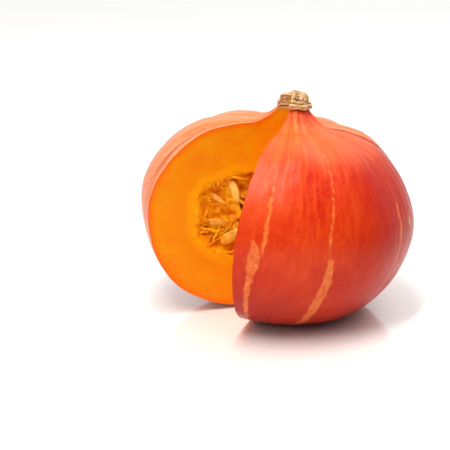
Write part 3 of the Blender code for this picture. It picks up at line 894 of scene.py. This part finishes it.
def corkShape(x, y, z, up):
    # how far the cork stands out or in, and how dark its cracks are, with painted shade in the folds and the hollows
    # between knobs: knobs, upright splits and folds at the foot
    calm = 0.2 + 0.8 * min(1.0, max(0.0, (up - 0.34) / 0.16))    # the foot is smoother
    knob = (noiseAt(x, y, z, 200, 1.0) + 0.6 * noiseAt(x, y, z, 520, 6.0)) * (0.4 + 0.6 * calm)
    split = calm * max(0.0, 1 - 5.5 * abs(noiseAt(x * 1.3, y * 1.3, z * 0.5, 290, 7.0)))
    cross = calm * max(0.0, 1 - 6.0 * abs(noiseAt(x * 0.5, y * 0.5, z * 1.6, 330, 2.5)))
    wander = 0.05 * noiseAt(x, y, 0, 300, 9.0)
    folds = sum(deep * math.exp(-((up - place - wander) / 0.045) ** 2) for place, deep in stalk["folds"])
    fine = noiseAt(x, y, z, 1400, 4.0)
    crackAndShade = min(1.0, 0.8 * split + 0.8 * cross + 0.9 * folds + 0.25 * max(0.0, -knob))
    return (-0.45 + 0.85 * knob - 0.7 * split - 0.6 * cross - 0.55 * folds + 0.13 * fine) * mm, crackAndShade


def stalkPiece(cork, cut):
    profiles = []
    for line in (stalk["outline"], stalk["outlineLeft"]):
        shares = [(0.0, 1.0), *curveThrough(line, 10), (0.0, 0.0)]
        profiles.append(evenly([(r * stalk["radius"], h * stalk["height"]) for r, h in shares], stalk["rowsDown"]))
    headings = np.linspace(headingStart, headingEnd, stalk["rowsRound"])
    outer = np.zeros((stalk["rowsDown"], len(headings), 5))      # point, crack, how far inside the cut
    for i in range(stalk["rowsDown"]):
        for j, a in enumerate(headings):
            # the lobe on the left of the notch is lower and blunter
            left = float(np.interp(math.degrees(a), (450, 500), (0.0, 1.0)))
            left *= left * (3 - 2 * left)
            radius, height = profiles[0][i] * (1 - left) + profiles[1][i] * left
            up = height / stalk["height"]
            ridge = 1 + 0.05 * math.cos(stalk["ridges"] * a)
            here = Vector((radius * ridge * math.cos(a), radius * ridge * math.sin(a), height))
            push, crackAndShade = corkShape(*here, up)
            step = Vector((here.x, here.y, (height - 0.45 * stalk["height"]) * 0.9))
            here += step.normalized() * push * min(1.0, radius / (3 * mm))
            here.z = max(0.15 * mm, here.z)
            aside = (here.x + 1.6 * mm) ** 2 + (here.y - 1.2 * mm) ** 2
            here.z += stalk["nub"] * math.exp(-aside / (0.8 * mm) ** 2) * up
            # the foot follows the neck down
            over = min(1.0, max(0.0, (radius - 9.4 * mm) / (2.6 * mm)))
            here.z -= (0.6 + 1.5 * left) * mm * over * over * max(0.0, 1 - up / 0.5)
            outer[i, j] = (*here, crackAndShade, 0.0)
    outer[0, :, :2] = outer[-1, :, :2] = 0
    outer[0, :, 2], outer[-1, :, 2] = outer[0, :, 2].mean(), 0.15 * mm
    outer[0, :, 3] = outer[-1, :, 3] = 0
    axisLine = np.zeros((len(outer), 5))
    axisLine[:, 2] = np.linspace(outer[0, 0, 2], 0.15 * mm, len(outer))
    axisLine[:, 4] = 1.0
    deep = np.linspace(0, 1, stalk["rowsDeep"])
    faces = []
    for column, _, _, outwards in cuts:
        grid = cutGrid(outer[:, column], axisLine, deep)
        for i in range(1, grid.shape[0] - 1):
            for j in range(1, grid.shape[1] - 1):
                x, y, z = grid[i, j, :3]
                push, crackAndShade = corkShape(x + 20 * mm, y, z, z / stalk["height"])
                held = min(1.0, math.hypot(x, y) / (3 * mm), 6 * deep[j])
                grid[i, j, :3] += outwards * (0.6 * push - 0.1 * mm) * held
                grid[i, j, 3] = 0.55 * crackAndShade
        faces.append(grid)
    points, quads, kinds = weldPoints(*sweptShell(outer, np.repeat(axisLine[:, None, :], 2, axis=1), *faces))
    place = fruitPlace @ Matrix.Translation((0, 0, fruit["outline"][0][1] * fruit["neckHeight"] + stalk["gap"]))
    shades = {"crackAndShade": points[:, 3], "inside": points[:, 4]}
    return newPiece("stalk_form", points[:, :3], quads, place, [cork, cut], kinds > 0, shades)


# Pumpkin stalk: cork that dried and split on the plant. It is matt, tan on the ridges, grey-brown in the cracks,
# which is partly painted shade, and painted shade darkens its folds and the hollows between its knobs. Where the
# knife split it, it is stringy, and greenish yellow in the middle.
corkLook = {
    "tan": "#D4A473", "pale": "#EAC89A", "brown": "#94683E", "dark": "#553820", "green": "#B99C5A",
    "heart": "#D8A020",
    "roughness": 0.85, "ior": 1.45, "specular": 0.25, "bump": 0.7,
    "subsurface": (0.0, (1.0, 1.0, 1.0), 1.0 * mm),
}


def corkMaterial(name, split):
    material, node = newMaterial(name)
    look = corkLook
    place = fruitCoordinates(node)
    crackAndShade = node("Attribute", attribute_name="crackAndShade").outputs["Fac"]
    broad = node("TexNoise", {"Vector": place, "Scale": 240.0, "Detail": 4.0, "Roughness": 0.6})
    fine = node("TexNoise", {"Vector": place, "Scale": 1300.0, "Detail": 3.0, "Roughness": 0.6})
    base = node("ValToRGB", {0: broad}, stops=[(0.34, look["green"]), (0.46, look["tan"]), (0.62, look["pale"])])
    layers = [("brown", (fine, 0.50, 0.68, 0.0, 0.70, "LINEAR"))]
    if split:
        inside = node("Attribute", attribute_name="inside").outputs["Fac"]
        upwards = node("SeparateXYZ", {0: place}).outputs[2]
        lower = node("Math", {0: upwards, 1: -50.0, 2: 50 * 143.3 * mm}, operation="MULTIPLY_ADD")
        ragged = node("Math", {0: broad, 1: 0.6, 2: inside}, operation="MULTIPLY_ADD")
        raggedLow = node("Math", {0: ragged, 1: lower}, operation="ADD")
        layers.append(("heart", (raggedLow, 0.55, 0.95, 0.0, 0.9)))
    # darker in the cracks, with painted shade in the folds and the hollows between knobs
    coloured = layered(node, look, base, [*layers, ("dark", (crackAndShade, 0.30, 1.0, 0.0, 0.85))])
    return surfaced(material, node, look, coloured, look["roughness"], fine, 0.25 * mm)


stump = stalkPiece(corkMaterial("pumpkin_stalk_cork", False), corkMaterial("pumpkin_stalk_cork_split", True))
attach(stump, "root")
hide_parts("stalk")
print("stalk:", len(stump.data.polygons), "faces")


# Stage: a white glossy table top, a white surround that is darker behind the camera, and three
# softboxes: a tall narrow one high in front, a low one at the front left and one behind

stage = {
    "floorSize": 12.0,
    "floorColour": "#FFFEFD",
    "coatRoughness": 0.05,
    "frontStrength": 0.14, "backStrength": 0.84, "topStrength": 1.55,
    "lightColour": (1.0, 0.96, 0.90),
    # each softbox: power, width and height, heading and elevation in degrees, distance
    "softboxes": {
        "key_softbox": (12.6, (0.11, 0.95), -113.0, 68.0, 1.20),
        "fill_softbox": (1.8, (0.50, 0.40), -134.0, 26.0, 1.20),
        "back_softbox": (5.0, (0.80, 0.80), 48.0, 50.0, 1.40),
    },
}


def buildStage():
    half = stage["floorSize"] / 2
    mesh = bpy.data.meshes.new("table_top")
    mesh.from_pydata([(-half, -half, 0), (half, -half, 0), (half, half, 0), (-half, half, 0)], [], [(0, 1, 2, 3)])
    floor = bpy.data.objects.new("table_top", mesh)
    bpy.context.scene.collection.objects.link(floor)
    # white lacquered board: a clear glossy coat over matt white, which mirrors the fruit softly
    material, node = newMaterial("white_lacquered_board")
    shader = node("BsdfPrincipled", {
        "Base Color": toLinear(stage["floorColour"]), "Roughness": 0.12, "IOR": 1.6,
        "Coat Weight": 1.0, "Coat Roughness": stage["coatRoughness"], "Coat IOR": 1.6,
    })
    node("OutputMaterial", {0: shader})
    mesh.materials.append(material)

    world = bpy.data.worlds.new("white_surround")
    bpy.context.scene.world = world
    world.use_nodes = True
    world.node_tree.nodes.clear()
    node = partial(addNode, world.node_tree)
    _, ahead, upwards = node("SeparateXYZ", {0: node("TexCoord").outputs["Generated"]}).outputs
    behind = strength(node, (ahead, -0.35, 0.35, stage["frontStrength"], stage["backStrength"]))
    above = strength(node, (upwards, 0.50, 0.95, 0.0, stage["topStrength"]))
    brighter = node("Math", {0: behind, 1: above}, operation="MAXIMUM")
    node("OutputWorld", {0: node("Background", {0: (1.0, 1.0, 1.0, 1.0), 1: brighter})})

    for name, (power, size, heading, elevation, distance) in stage["softboxes"].items():
        data = bpy.data.lights.new(name, "AREA")
        data.shape = "RECTANGLE"
        data.size, data.size_y = size
        data.energy = power
        data.color = stage["lightColour"]
        softbox = bpy.data.objects.new(name, data)
        bpy.context.scene.collection.objects.link(softbox)
        towards = Euler((0, -radians(elevation), radians(heading))).to_matrix() @ Vector((1, 0, 0))
        softbox.location = Vector((0, 0, 0.07)) + towards * distance
        softbox.rotation_euler = (-towards).to_track_quat("-Z", "Y").to_euler()


# Camera: 1.10 m away, looking down by 17 degrees along +Y

camera = {
    "distance": 1.10, "elevation": radians(17.0), "aimHeight": 75 * mm,
    "lens": 130.5, "shift": (-0.1213, -0.0478),
}


def buildCamera():
    aim = fruitPlace @ Vector((0, 0, camera["aimHeight"]))
    data = bpy.data.cameras.new("camera")
    eye = bpy.data.objects.new("camera", data)
    bpy.context.scene.collection.objects.link(eye)
    down = camera["elevation"]
    eye.location = aim + Vector((0, -math.cos(down), math.sin(down))) * camera["distance"]
    eye.rotation_euler = (math.pi / 2 - down, 0, 0)
    data.lens = camera["lens"]
    data.shift_x, data.shift_y = camera["shift"]
    data.clip_start, data.clip_end = 0.01, 50.0
    bpy.context.scene.camera = eye


buildStage()
buildCamera()
bpy.context.scene.view_settings.view_transform = "Standard"
print("stage and camera are set")
